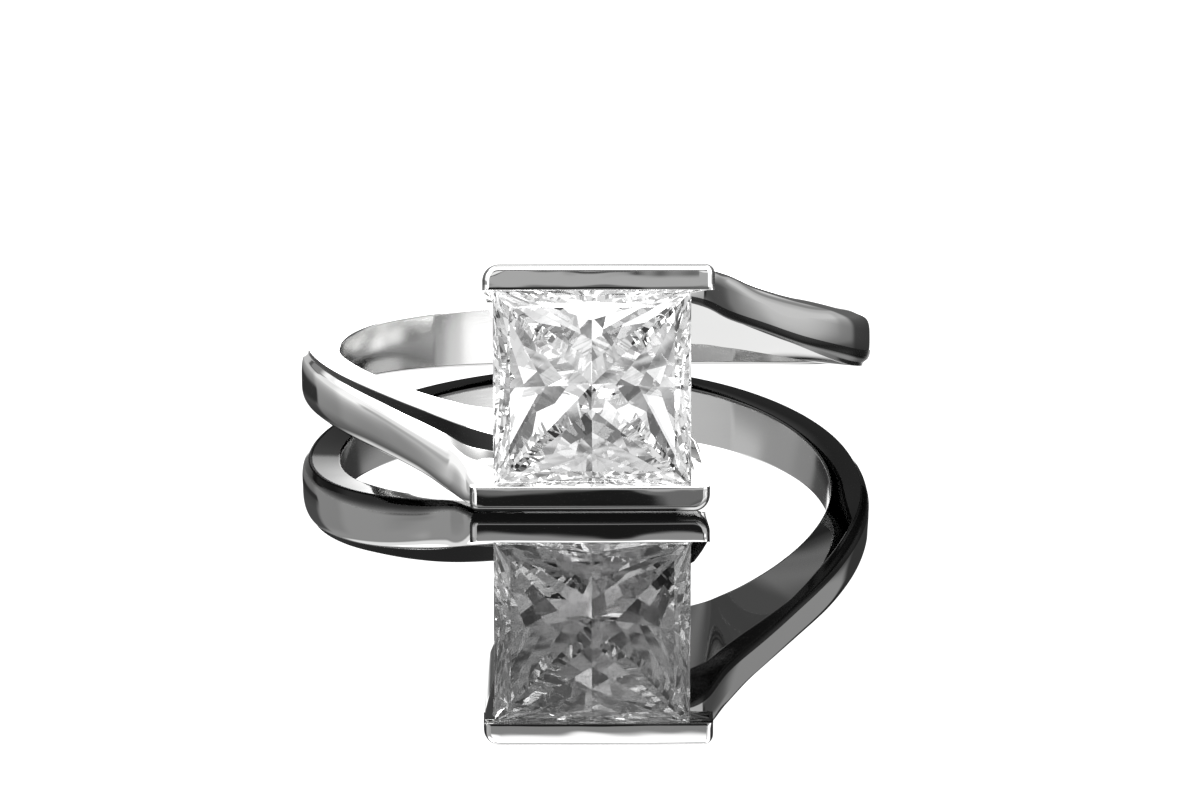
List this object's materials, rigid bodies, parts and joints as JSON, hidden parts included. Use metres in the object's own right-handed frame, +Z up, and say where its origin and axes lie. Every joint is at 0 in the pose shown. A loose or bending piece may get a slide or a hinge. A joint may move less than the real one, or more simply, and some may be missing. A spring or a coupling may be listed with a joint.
{
  "type": "princess cut ring",
  "caption": "Finger ring whose band winds past a square clear stone and holds it between two straight bars, lying on its side.",
  "frame": {"origin": "centre of the bounding box on the floor, with the ring lying on its side", "axes": "+Z up, -Y towards the front of the stone, +Y towards the back of the band, X across the stone"},
  "size_m": [0.0198, 0.0229, 0.0082],
  "materials": {
    "ring_metal": "mirror-polished white metal",
    "princess_stone": "clear faceted stone"
  },
  "bodies": {
    "root": {"ring_metal": "ring_metal", "princess_stone": "princess_stone"}
  },
  "joints": []
}
